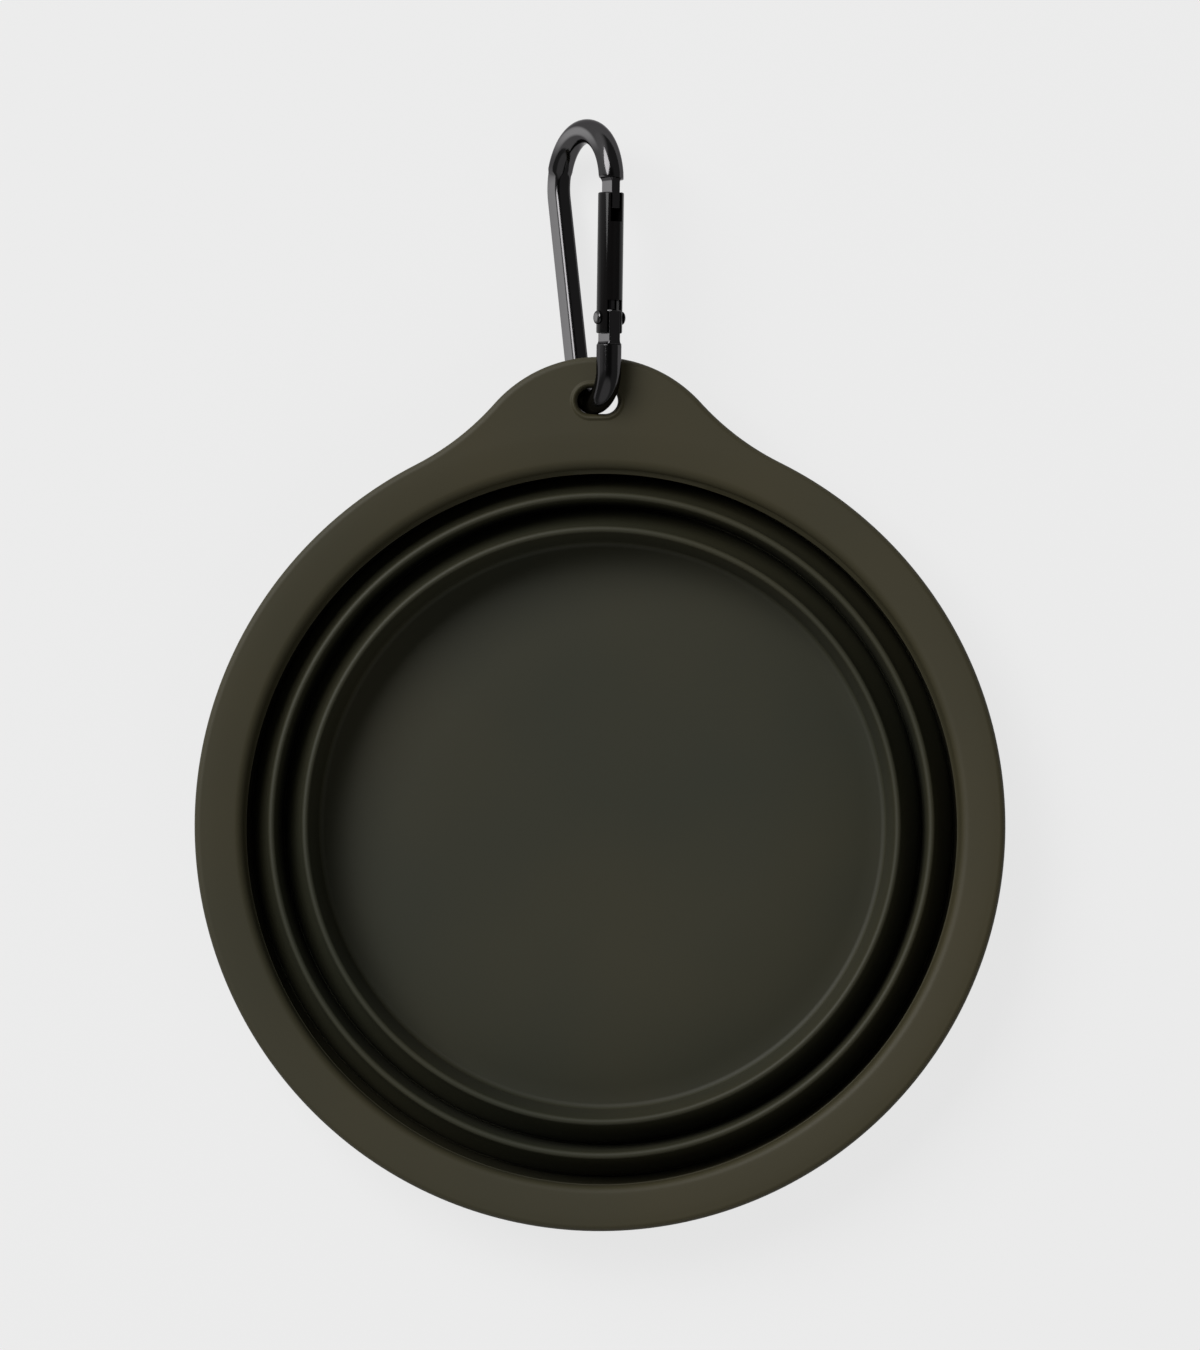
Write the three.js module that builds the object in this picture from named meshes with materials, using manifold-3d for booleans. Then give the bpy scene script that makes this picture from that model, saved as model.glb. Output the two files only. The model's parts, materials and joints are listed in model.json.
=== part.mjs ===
// Collapsible silicone travel bowl, folded flat, with a small spring-gate carabiner through its tab.
// Millimetres, +Z up. The origin is the middle of the base's underside and the tab points along +Y.
// The moulding is one piece of silicone. It is divided at its living hinges: the stiff tiers (rim,
// middle wall, base) slide along Z, and the two thin folds between them turn inside out.

import * as THREE from 'three';
import { mergeVertices } from 'three/addons/utils/BufferGeometryUtils.js';
import Module from 'manifold-3d';

const wasm = await Module();
wasm.setup();

// Rim flange
const RIM_RADIUS = 65;
const RIM_TOP = 14;
const FLANGE_WIDTH = 6.1;
const FLANGE_THICKNESS = 2.8;
const FLANGE_EDGE_ROUND = 1;
const FLANGE_ROOT_FILLET = 0.6;
const RIM_ROUNDOVER = 1.7;

// Hanging tab: an end arc that flows into the rim through a concave fillet on each side
const TAB_STAND_OUT = 10.17;
const TAB_END_RADIUS = 22.2;
const TAB_FLOW_RADIUS = 43;
const TAB_ROOT_DEPTH = 3.5;

// Slot in the tab, with a raised bead round its upper edge
const TAB_STRIP_WIDTH = 4.4;
const SLOT_LENGTH_CLEARANCE = 1.2;
const SLOT_WIDTH_CLEARANCE = 0.4;
const SLOT_MOUTH_DEPTH = 1;
const SLOT_LOWER_ROUND = 1.2;
const BEAD_HEIGHT = 0.3;
const BEAD_WIDTH = 0.8;
const BEAD_CREST = 0.55;

// Folding wall, collapsed: each tier has a crest at its top and a valley at its foot
const WALL_SETBACK = 0.7;
const TIER_PITCH = 5.4;
const CREST_DROP = 1.2;
const CREST_ROUND = 0.55;
const CREST_CAP_DEPTH = 1.05;
const WALL_LEAN = 1.25;
const WALL_NECK = 0.4;
const WALL_FOOT_THICKNESS = 1.45;
const VALLEY_UNDERSIDE = 1;
const VALLEY_THICKNESS = 1.3;
const VALLEY_WIDTH = 0.55;
const VALLEY_ROUND = 0.4;
const FOLD_FOOT_THICKNESS = 0.85;
const HINGE_GAP = 0.3;

// Base
const FLOOR_THICKNESS = 2;
const FLOOR_FILLET = 1;
const BASE_CORNER = 1.8;

// Carabiner bar: a pear-shaped loop, round at its bends, pressed flat along the spine.
// The hook ends a little above the middle of the narrow bend, the nose just past that of the wide one.
const BAR_DIAMETER = 4;
const WIDE_BEND_INNER_RADIUS = 6.55;
const NARROW_BEND_INNER_RADIUS = 2.95;
const BEND_SPACING = 30.1;
const SPINE_WIDTH = 2.9;
const SPINE_DEPTH = 3.5;
const SPINE_CHAMFER = 0.35;
const PRESS_RUN_OUT = 4;
const HOOK_SHOULDER = 4.15;
const NOSE_OVERHANG = 0.6;

// Tongues at the two ends of the bar, and the bare necks that show between bar and gate
const HINGE_TONGUE_THICKNESS = 2;
const HINGE_TONGUE_DEPTH = 3.7;
const HINGE_TONGUE_RISE = 1.1;
const HINGE_REACH = 4.25;
const HINGE_NECK = 1.75;
const NOSE_TONGUE_THICKNESS = 1.5;
const NOSE_TONGUE_DEPTH = 3;
const NOSE_TONGUE_ENTRY = 2.6;
const NOSE_TONGUE_OFFSET = 0.1;
const NOSE_NECK = 2.3;
const TONGUE_CORNER = 0.4;
const TONGUE_ROOT = 1;

// Gate
const GATE_DIAMETER = 4.15;
const GATE_WALL = 0.68;
const GATE_END_CHAMFER = 0.3;
const HINGE_SLOT_SPARE = 0.85;
const NOSE_SLOT_SPARE = 2.1;
const BORE_END_WALL = 1.6;
const SIDE_CLEARANCE = 0.3;
const SEAT_CLEARANCE = 0.3;

// Rivet, plunger and spring
const RIVET_DIAMETER = 1.4;
const RIVET_HEAD_LIP = 0.4;
const RIVET_HEAD_HEIGHT = 0.4;
const RIVET_CLEARANCE = 0.25;
const PLUNGER_HEAD_LENGTH = 2.6;
const PLUNGER_STEM_LENGTH = 2.4;
const SPRING_WIRE_DIAMETER = 0.44;
const SPRING_TURNS = 7.5;

// How the carabiner lies: its plane leans over, it is turned a little, and its crown rests on the table
const CARABINER_SIDE_SHIFT = -0.65;
const CARABINER_SLANT = THREE.MathUtils.degToRad(29.75);
const CARABINER_TURN = THREE.MathUtils.degToRad(-0.85);
const TABLE_CLEARANCE = 0.3;

// Facets, and how far a cut runs past the face that it opens
const TURNED_SEGMENTS = 64;
const BAR_SIDES = 16;
const BEND_STEPS = 14;
const SPINE_STEPS = 6;
const SMALL_ROUND_SIDES = 20;
const CURL_STEPS = 8;
const WIRE_SIDES = 5;
const CUT_OVERRUN = 0.5;

// Colours and finishes
const SILICONE = { color: 0x3e3b2f, roughness: 0.78, metalness: 0 };
const BLACK_COATING = { color: 0x141313, roughness: 0.3, metalness: 0.6 };
const DARK_STEEL = { color: 0x2a2a2a, roughness: 0.35, metalness: 0.9 };
const SPRING_STEEL = { color: 0x8c8c88, roughness: 0.3, metalness: 1 };

// Bowl sizes that follow from those above
const FLANGE_INNER_RADIUS = RIM_RADIUS - FLANGE_WIDTH;
const TAB_REACH = RIM_RADIUS + TAB_STAND_OUT;
const TAB_MIDDLE = RIM_TOP - FLANGE_THICKNESS / 2;
const CREST_TOP = RIM_TOP - CREST_DROP;
const VALLEY_FLOOR = VALLEY_UNDERSIDE + VALLEY_THICKNESS;

// The bar goes through the tab at a slant and on its bend, so the slot is longer and wider than the bar
const HALF_PASSAGE = (FLANGE_THICKNESS / 2 + BEAD_HEIGHT) / Math.cos(CARABINER_SLANT);
const BEND_BOW = NARROW_BEND_INNER_RADIUS - Math.sqrt(NARROW_BEND_INNER_RADIUS ** 2 - HALF_PASSAGE ** 2);
const SLOT_WIDTH = BAR_DIAMETER + BEND_BOW + SLOT_WIDTH_CLEARANCE;
const SLOT_LENGTH = BAR_DIAMETER / Math.cos(CARABINER_SLANT)
  + (FLANGE_THICKNESS + BEAD_HEIGHT) * Math.tan(CARABINER_SLANT) + SLOT_LENGTH_CLEARANCE;
const SLOT_DISTANCE = TAB_REACH - TAB_STRIP_WIDTH - SLOT_WIDTH / 2;

// Carabiner sizes and place. The gate is measured from the rivet axis.
const WIDE_BEND_RADIUS = WIDE_BEND_INNER_RADIUS + BAR_DIAMETER / 2;
const NARROW_BEND_RADIUS = NARROW_BEND_INNER_RADIUS + BAR_DIAMETER / 2;
const NOSE_END = BEND_SPACING + NOSE_OVERHANG;
const RIVET_PLACE = HOOK_SHOULDER + HINGE_REACH;
const GATE_TAIL = HINGE_REACH - HINGE_NECK;
const GATE_REACH = NOSE_END - NOSE_NECK - RIVET_PLACE;
const HINGE_SLOT_REACH = Math.hypot(HINGE_TONGUE_RISE, HINGE_TONGUE_DEPTH / 2) + HINGE_SLOT_SPARE;
const NOSE_SLOT_LENGTH = NOSE_TONGUE_ENTRY + NOSE_SLOT_SPARE;
const SPRING_BORE_RADIUS = GATE_DIAMETER / 2 - GATE_WALL;
const SPRING_BORE_END = GATE_REACH - NOSE_SLOT_LENGTH - BORE_END_WALL;
const SPRING_MEAN_RADIUS = SPRING_BORE_RADIUS - SIDE_CLEARANCE - SPRING_WIRE_DIAMETER / 2;
const CROWN_DROP = (TAB_MIDDLE - BAR_DIAMETER / 2 - TABLE_CLEARANCE) / Math.cos(CARABINER_SLANT);
const CARABINER_LIFT = Math.asin((2 * WIDE_BEND_RADIUS - NARROW_BEND_RADIUS - CROWN_DROP) / BEND_SPACING);
const CARABINER_PLACE = new THREE.Vector3(
  CARABINER_SIDE_SHIFT,
  SLOT_DISTANCE - SLOT_WIDTH / 2 + SEAT_CLEARANCE + BAR_DIAMETER / 2 + NARROW_BEND_RADIUS,
  TAB_MIDDLE,
);

function mesh(name, geometry, finish) {
  const piece = new THREE.Mesh(geometry, new THREE.MeshStandardMaterial(finish));
  piece.name = name;
  return piece;
}

// Closed surface with shared vertices, ready for a boolean or for display.
function welded(geometry) {
  const bare = geometry.clone();
  bare.deleteAttribute('normal');
  bare.deleteAttribute('uv');
  return mergeVertices(bare, 1e-5);
}

function toSolid(geometry) {
  const shell = welded(geometry);
  return new wasm.Manifold(new wasm.Mesh({
    numProp: 3,
    vertProperties: new Float32Array(shell.attributes.position.array),
    triVerts: new Uint32Array(shell.index.array),
  }));
}

function toGeometry(solid) {
  const result = solid.getMesh();
  const geometry = new THREE.BufferGeometry();
  geometry.setAttribute('position', new THREE.BufferAttribute(result.vertProperties, 3));
  geometry.setIndex(new THREE.BufferAttribute(result.triVerts, 1));
  geometry.computeVertexNormals();
  return geometry;
}

// Points on an arc of a section, from one angle to another in degrees, both ends included.
function arc(centre, radius, fromDegrees, toDegrees, steps) {
  const points = [];
  for (let i = 0; i <= steps; i += 1) {
    const angle = THREE.MathUtils.degToRad(fromDegrees + (toDegrees - fromDegrees) * i / steps);
    points.push(new THREE.Vector2(centre.x + radius * Math.cos(angle), centre.y + radius * Math.sin(angle)));
  }
  return points;
}

function at(radius, height) {
  return new THREE.Vector2(radius, height);
}

// Turns a section of (radius, height) points about Z. The section runs anticlockwise.
function turned(section) {
  return new THREE.LatheGeometry(section, TURNED_SEGMENTS).rotateX(Math.PI / 2);
}

// Closed skin through rings of equal point counts, with a flat fan over each end.
function loft(rings) {
  const sides = rings[0].length;
  const points = rings.flat();
  const triangles = [];
  for (let ring = 0; ring + 1 < rings.length; ring += 1) {
    for (let side = 0; side < sides; side += 1) {
      const next = (side + 1) % sides;
      const a = ring * sides + side;
      const b = ring * sides + next;
      triangles.push(a, b, b + sides, a, b + sides, a + sides);
    }
  }
  const last = (rings.length - 1) * sides;
  for (let side = 1; side + 1 < sides; side += 1) {
    triangles.push(0, side + 1, side, last, last + side, last + side + 1);
  }
  const geometry = new THREE.BufferGeometry().setFromPoints(points);
  geometry.setIndex(triangles);
  geometry.computeVertexNormals();
  return geometry;
}

// Sizes of the tier whose crest, or rim in place of a crest, stands at this radius
function tier(crestRadius) {
  const innerFoot = crestRadius - CREST_ROUND - WALL_LEAN;
  return {
    crest: crestRadius,
    innerFoot,
    outerFoot: innerFoot + WALL_FOOT_THICKNESS,
    outerTop: crestRadius - CREST_ROUND + WALL_NECK,
    capEdge: crestRadius + CREST_ROUND,
    capFoot: CREST_TOP - CREST_CAP_DEPTH,
    hookTip: innerFoot - VALLEY_WIDTH - FOLD_FOOT_THICKNESS,
  };
}

const RIM_TIER = tier(FLANGE_INNER_RADIUS - WALL_SETBACK);
const MIDDLE_TIER = tier(RIM_TIER.crest - TIER_PITCH);
const BASE_TIER = tier(MIDDLE_TIER.crest - TIER_PITCH);

// Underside of a tier's valley, from the hook tip round to the foot of the outer face
function valleyUnderside(t) {
  return [
    at(t.hookTip, VALLEY_FLOOR),
    at(t.hookTip, VALLEY_UNDERSIDE + VALLEY_ROUND),
    at(t.hookTip + VALLEY_ROUND, VALLEY_UNDERSIDE),
    at(t.outerFoot - VALLEY_ROUND, VALLEY_UNDERSIDE),
    at(t.outerFoot, VALLEY_UNDERSIDE + VALLEY_ROUND),
  ];
}

// Foot of a tier's inner face and the valley floor back to the hook tip, which closes the section
function valleyFloor(t) {
  return [
    at(t.innerFoot, VALLEY_FLOOR + VALLEY_ROUND),
    at(t.innerFoot - VALLEY_ROUND / 2, VALLEY_FLOOR),
    at(t.hookTip, VALLEY_FLOOR),
  ];
}

// Underside of the crest cap and the rounded crest, from the outer face over to the inner face
function crestCap(t) {
  return [
    at(t.outerTop, t.capFoot),
    at(t.capEdge, t.capFoot),
    ...arc(at(t.crest, CREST_TOP - CREST_ROUND), CREST_ROUND, 0, 180, 4),
  ];
}

function rimRing() {
  const flangeUnderside = RIM_TOP - FLANGE_THICKNESS;
  const edge = RIM_RADIUS - FLANGE_EDGE_ROUND;
  const wallTop = RIM_TIER.outerTop;
  return turned([
    ...valleyUnderside(RIM_TIER),
    at(wallTop, flangeUnderside - FLANGE_ROOT_FILLET),
    at(wallTop + FLANGE_ROOT_FILLET, flangeUnderside),
    ...arc(at(edge, flangeUnderside + FLANGE_EDGE_ROUND), FLANGE_EDGE_ROUND, -90, 0, 2),
    ...arc(at(edge, RIM_TOP - FLANGE_EDGE_ROUND), FLANGE_EDGE_ROUND, 0, 90, 2),
    ...arc(at(FLANGE_INNER_RADIUS, RIM_TOP - RIM_ROUNDOVER), RIM_ROUNDOVER, 90, 180, 4),
    ...valleyFloor(RIM_TIER),
  ]);
}

// Flat tab with rounded edges. Its root lies inside the flange, where the two are one.
function tabPlate() {
  const endCentre = at(0, TAB_REACH - TAB_END_RADIUS);
  const rimToFlow = RIM_RADIUS + TAB_FLOW_RADIUS;
  const endToFlow = TAB_END_RADIUS + TAB_FLOW_RADIUS;
  const flowY = (rimToFlow ** 2 - endToFlow ** 2 + endCentre.y ** 2) / (2 * endCentre.y);
  const flow = at(Math.sqrt(rimToFlow ** 2 - flowY ** 2), flowY);
  const rimAngle = Math.atan2(flow.y, flow.x);
  const endAngle = Math.atan2(flow.y - endCentre.y, flow.x);
  const rootRadius = RIM_RADIUS - TAB_ROOT_DEPTH;
  const outline = new THREE.Shape();
  outline.absarc(flow.x, flow.y, TAB_FLOW_RADIUS, rimAngle + Math.PI, endAngle + Math.PI, true);
  outline.absarc(0, endCentre.y, TAB_END_RADIUS, endAngle, Math.PI - endAngle, false);
  outline.absarc(-flow.x, flow.y, TAB_FLOW_RADIUS, -endAngle, -rimAngle, true);
  outline.absarc(0, 0, rootRadius, Math.PI - rimAngle, rimAngle, true);
  const plate = new THREE.ExtrudeGeometry(outline, {
    depth: FLANGE_THICKNESS - 2 * FLANGE_EDGE_ROUND,
    bevelThickness: FLANGE_EDGE_ROUND,
    bevelSize: FLANGE_EDGE_ROUND,
    bevelOffset: -FLANGE_EDGE_ROUND,
    bevelSegments: 2,
    curveSegments: 10,
  });
  return plate.translate(0, 0, RIM_TOP - FLANGE_THICKNESS + FLANGE_EDGE_ROUND);
}

// Ring round the tab's slot, grown by an offset, at one height
function slotRing(offset, height) {
  const radius = SLOT_WIDTH / 2 + offset;
  const half = (SLOT_LENGTH - SLOT_WIDTH) / 2;
  const steps = SMALL_ROUND_SIDES / 2;
  const right = arc(at(half, SLOT_DISTANCE), radius, -90, 90, steps);
  const left = arc(at(-half, SLOT_DISTANCE), radius, 90, 270, steps);
  return [...right, ...left].map((p) => new THREE.Vector3(p.x, p.y, height));
}

// Raised lip round the slot, rooted in the tab
function slotBead() {
  const rings = [slotRing(BEAD_WIDTH, TAB_MIDDLE)];
  for (const p of arc(at(0, 0), 1, 0, 90, 2)) {
    rings.push(slotRing(THREE.MathUtils.lerp(BEAD_CREST, BEAD_WIDTH, p.x), RIM_TOP + BEAD_HEIGHT * p.y));
  }
  return loft(rings);
}

// Slot through the tab, with a trumpet mouth above and a rounded edge below
function slotCutter() {
  const crest = RIM_TOP + BEAD_HEIGHT;
  const underside = RIM_TOP - FLANGE_THICKNESS;
  const rings = [slotRing(SLOT_LOWER_ROUND, underside - CUT_OVERRUN)];
  for (const p of arc(at(SLOT_LOWER_ROUND, underside + SLOT_LOWER_ROUND), SLOT_LOWER_ROUND, 270, 180, 2)) {
    rings.push(slotRing(p.x, p.y));
  }
  for (const p of arc(at(1, 0), 1, 180, 90, 3)) {
    rings.push(slotRing(p.x * BEAD_CREST, crest - SLOT_MOUTH_DEPTH + p.y * SLOT_MOUTH_DEPTH));
  }
  rings.push(slotRing(BEAD_CREST, crest + CUT_OVERRUN));
  return loft(rings);
}

function rim() {
  const body = toSolid(rimRing()).add(toSolid(tabPlate())).add(toSolid(slotBead()));
  return toGeometry(body.subtract(toSolid(slotCutter())));
}

function middleWall() {
  return turned([
    ...valleyUnderside(MIDDLE_TIER),
    ...crestCap(MIDDLE_TIER),
    ...valleyFloor(MIDDLE_TIER),
  ]);
}

function base() {
  const filletCentre = at(BASE_TIER.innerFoot - FLOOR_FILLET, FLOOR_THICKNESS + FLOOR_FILLET);
  return turned([
    at(0, 0),
    ...arc(at(BASE_TIER.outerFoot - BASE_CORNER, BASE_CORNER), BASE_CORNER, -90, 0, 3),
    ...crestCap(BASE_TIER),
    ...arc(filletCentre, FLOOR_FILLET, 0, -90, 3),
    at(0, FLOOR_THICKNESS),
  ]);
}

// Thin cone between the crest of an inner tier and the hook of the tier outside it
function fold(inner, outer) {
  const top = inner.capFoot - HINGE_GAP;
  const foot = VALLEY_FLOOR + HINGE_GAP;
  return turned([
    at(outer.hookTip, foot),
    at(outer.hookTip + FOLD_FOOT_THICKNESS, foot),
    at(inner.capEdge, top),
    at(inner.outerTop + HINGE_GAP, top),
    at(outer.hookTip, foot),
  ]);
}

// Bar section at one place on the loop: round, or pressed to a flat-sided bar, or between the two
function barRing(place, heading, pressed) {
  const across = new THREE.Vector3(1, 0, 0);
  const outward = new THREE.Vector3().crossVectors(heading, across);
  const halfWidth = SPINE_WIDTH / 2;
  const halfDepth = SPINE_DEPTH / 2;
  const ring = [];
  for (let side = 0; side < BAR_SIDES; side += 1) {
    const angle = 2 * Math.PI * side / BAR_SIDES;
    const c = Math.abs(Math.cos(angle));
    const s = Math.abs(Math.sin(angle));
    const flat = Math.min(halfWidth / c, halfDepth / s, (halfWidth + halfDepth - SPINE_CHAMFER) / (c + s));
    const reach = THREE.MathUtils.lerp(BAR_DIAMETER / 2, flat, pressed);
    ring.push(place.clone()
      .addScaledVector(across, reach * Math.cos(angle))
      .addScaledVector(outward, reach * Math.sin(angle)));
  }
  return ring;
}

// The loop lies in the YZ plane: gate line at z = narrow bend radius, narrow bend about the origin.
// It runs from the hook shoulder round the narrow bend, up the spine and over the crown to the nose.
function barLoop() {
  const half = Math.atan2(WIDE_BEND_RADIUS - NARROW_BEND_RADIUS, BEND_SPACING);
  const lean = 2 * half;
  const wideCentre = new THREE.Vector3(0, BEND_SPACING, NARROW_BEND_RADIUS - WIDE_BEND_RADIUS);
  const noseAngle = Math.acos((NOSE_END - BEND_SPACING) / WIDE_BEND_RADIUS);
  const stations = [];
  const place = (centre, radius, angle) => new THREE.Vector3(
    0, centre.y + radius * Math.cos(angle), centre.z + radius * Math.sin(angle));
  stations.push({ point: new THREE.Vector3(0, HOOK_SHOULDER, NARROW_BEND_RADIUS), angle: Math.PI, pressed: 0 });
  for (let i = 0; i <= BEND_STEPS; i += 1) {
    const turn = (Math.PI - lean) * i / BEND_STEPS;
    const point = place(new THREE.Vector3(), NARROW_BEND_RADIUS, Math.PI / 2 + turn);
    stations.push({ point, angle: Math.PI + turn, pressed: 0 });
  }
  const spineFoot = stations[stations.length - 1].point;
  const spineTop = place(wideCentre, WIDE_BEND_RADIUS, -Math.PI / 2 - lean);
  const spineLength = spineFoot.distanceTo(spineTop);
  for (let i = 1; i < SPINE_STEPS; i += 1) {
    const share = i / SPINE_STEPS;
    const point = spineFoot.clone().lerp(spineTop, share);
    const pressed = THREE.MathUtils.smoothstep(share * spineLength, 0, PRESS_RUN_OUT);
    stations.push({ point, angle: -lean, pressed });
  }
  for (let i = 0; i <= BEND_STEPS; i += 1) {
    const turn = (Math.PI / 2 + lean + noseAngle) * i / BEND_STEPS;
    const pressed = 1 - THREE.MathUtils.smoothstep(turn * WIDE_BEND_RADIUS, 0, PRESS_RUN_OUT);
    const point = place(wideCentre, WIDE_BEND_RADIUS, -Math.PI / 2 - lean + turn);
    stations.push({ point, angle: turn - lean, pressed });
  }
  return loft(stations.map((s) => barRing(
    s.point, new THREE.Vector3(0, Math.cos(s.angle), Math.sin(s.angle)), s.pressed)));
}

// Flat tongue standing in the loop's plane, along Y, with cut corners at its free end
function tongue(thickness, depth, rootPlace, endPlace, zMiddle) {
  const side = depth / 2;
  const inset = Math.sign(rootPlace - endPlace) * TONGUE_CORNER;
  const outline = new THREE.Shape([
    at(-side, rootPlace),
    at(-side, endPlace + inset),
    at(-side + TONGUE_CORNER, endPlace),
    at(side - TONGUE_CORNER, endPlace),
    at(side, endPlace + inset),
    at(side, rootPlace),
  ]);
  const plate = new THREE.ExtrudeGeometry(outline, { depth: thickness, bevelEnabled: false });
  return plate.translate(0, 0, -thickness / 2).rotateY(Math.PI / 2).translate(0, 0, zMiddle);
}

// Round bar along X through the rivet axis
function rivetHole() {
  const length = 2 * GATE_DIAMETER;
  const hole = new THREE.CylinderGeometry(
    RIVET_DIAMETER / 2 + RIVET_CLEARANCE, RIVET_DIAMETER / 2 + RIVET_CLEARANCE, length, SMALL_ROUND_SIDES);
  return hole.rotateZ(Math.PI / 2);
}

function carabinerFrame() {
  const gateLine = NARROW_BEND_RADIUS;
  const hingeTongue = tongue(HINGE_TONGUE_THICKNESS, HINGE_TONGUE_DEPTH,
    HOOK_SHOULDER - TONGUE_ROOT, RIVET_PLACE + HINGE_TONGUE_RISE, gateLine);
  const noseTongue = tongue(NOSE_TONGUE_THICKNESS, NOSE_TONGUE_DEPTH,
    NOSE_END + TONGUE_ROOT, NOSE_END - NOSE_NECK - NOSE_TONGUE_ENTRY, gateLine + NOSE_TONGUE_OFFSET);
  const hole = rivetHole().translate(0, RIVET_PLACE, gateLine);
  return toGeometry(toSolid(barLoop())
    .add(toSolid(hingeTongue))
    .add(toSolid(noseTongue))
    .subtract(toSolid(hole)));
}

function block(width, fromY, toY, fromZ, toZ) {
  return new THREE.BoxGeometry(width, toY - fromY, toZ - fromZ)
    .translate(0, (fromY + toY) / 2, (fromZ + toZ) / 2);
}

// Round gate along Y, rivet axis at the origin, the loop's outside towards +Z
function carabinerGate() {
  const radius = GATE_DIAMETER / 2;
  const chamfered = radius - GATE_END_CHAMFER;
  const body = new THREE.LatheGeometry([
    at(0, -GATE_TAIL),
    at(chamfered, -GATE_TAIL),
    at(radius, -GATE_TAIL + GATE_END_CHAMFER),
    at(radius, GATE_REACH - GATE_END_CHAMFER),
    at(chamfered, GATE_REACH),
    at(0, GATE_REACH),
  ], SMALL_ROUND_SIDES);
  const beyond = GATE_DIAMETER;
  const hingeSlot = block(HINGE_TONGUE_THICKNESS + 2 * SIDE_CLEARANCE, -GATE_TAIL - beyond, HINGE_SLOT_REACH,
    -beyond, beyond);
  const noseSlotFloor = NOSE_TONGUE_OFFSET - NOSE_TONGUE_DEPTH / 2 - SEAT_CLEARANCE;
  const noseSlot = block(NOSE_TONGUE_THICKNESS + 2 * SIDE_CLEARANCE, GATE_REACH - NOSE_SLOT_LENGTH,
    GATE_REACH + beyond, noseSlotFloor, beyond);
  const boreLength = SPRING_BORE_END + GATE_TAIL;
  const bore = new THREE.CylinderGeometry(
    SPRING_BORE_RADIUS, SPRING_BORE_RADIUS, boreLength, SMALL_ROUND_SIDES)
    .translate(0, SPRING_BORE_END - boreLength / 2, 0);
  return toGeometry(toSolid(body)
    .subtract(toSolid(hingeSlot))
    .subtract(toSolid(noseSlot))
    .subtract(toSolid(bore))
    .subtract(toSolid(rivetHole())));
}

// Rivet along X with a low head on each side of the gate
function gateRivet() {
  const seat = GATE_DIAMETER / 2 + RIVET_CLEARANCE;
  const shank = RIVET_DIAMETER / 2;
  const head = shank + RIVET_HEAD_LIP;
  const upper = [
    at(shank, seat),
    at(head, seat),
    at(head, seat + RIVET_HEAD_HEIGHT / 2),
    at(shank, seat + RIVET_HEAD_HEIGHT),
    at(0, seat + RIVET_HEAD_HEIGHT),
  ];
  const lower = upper.map((p) => at(p.x, -p.y)).reverse();
  return new THREE.LatheGeometry([...lower, ...upper], SMALL_ROUND_SIDES).rotateZ(Math.PI / 2);
}

const PLUNGER_FOOT = HINGE_TONGUE_RISE + SEAT_CLEARANCE;
const PLUNGER_SHOULDER = PLUNGER_FOOT + PLUNGER_HEAD_LENGTH;

// Pin that bears on the hinge tongue, with a stem inside the spring
function gatePlunger() {
  const head = SPRING_BORE_RADIUS - SIDE_CLEARANCE;
  const stem = SPRING_MEAN_RADIUS - SPRING_WIRE_DIAMETER / 2 - SIDE_CLEARANCE;
  return new THREE.LatheGeometry([
    at(0, PLUNGER_FOOT),
    at(head, PLUNGER_FOOT),
    at(head, PLUNGER_SHOULDER),
    at(stem, PLUNGER_SHOULDER),
    at(stem, PLUNGER_SHOULDER + PLUNGER_STEM_LENGTH),
    at(0, PLUNGER_SHOULDER + PLUNGER_STEM_LENGTH),
  ], SMALL_ROUND_SIDES);
}

// Compression spring between the plunger's shoulder and the end of the bore
function gateSpring() {
  const wire = SPRING_WIRE_DIAMETER / 2;
  const from = PLUNGER_SHOULDER + SEAT_CLEARANCE + wire;
  const to = SPRING_BORE_END - SEAT_CLEARANCE - wire;
  const steps = Math.round(SPRING_TURNS * CURL_STEPS);
  const pitch = (to - from) / SPRING_TURNS;
  const rings = [];
  for (let i = 0; i <= steps; i += 1) {
    const angle = 2 * Math.PI * SPRING_TURNS * i / steps;
    const radial = new THREE.Vector3(Math.cos(angle), 0, Math.sin(angle));
    const along = new THREE.Vector3(-Math.sin(angle), pitch / (2 * Math.PI * SPRING_MEAN_RADIUS), Math.cos(angle));
    const binormal = new THREE.Vector3().crossVectors(along.normalize(), radial);
    const centre = radial.clone().multiplyScalar(SPRING_MEAN_RADIUS);
    centre.y = from + (to - from) * i / steps;
    const ring = [];
    for (let side = 0; side < WIRE_SIDES; side += 1) {
      const round = 2 * Math.PI * side / WIRE_SIDES;
      ring.push(centre.clone()
        .addScaledVector(radial, wire * Math.cos(round))
        .addScaledVector(binormal, wire * Math.sin(round)));
    }
    rings.push(ring);
  }
  console.log(`gate_spring: least gap between turns ${leastGap(rings).toFixed(2)} mm`);
  return loft(rings);
}

// Smallest distance between points of the wire that are more than half a turn apart
function leastGap(rings) {
  let least = Infinity;
  for (let i = 0; i < rings.length; i += 1) {
    for (let j = i + CURL_STEPS / 2; j < rings.length; j += 1) {
      for (const p of rings[i]) {
        for (const q of rings[j]) {
          least = Math.min(least, p.distanceTo(q));
        }
      }
    }
  }
  return least;
}

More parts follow.
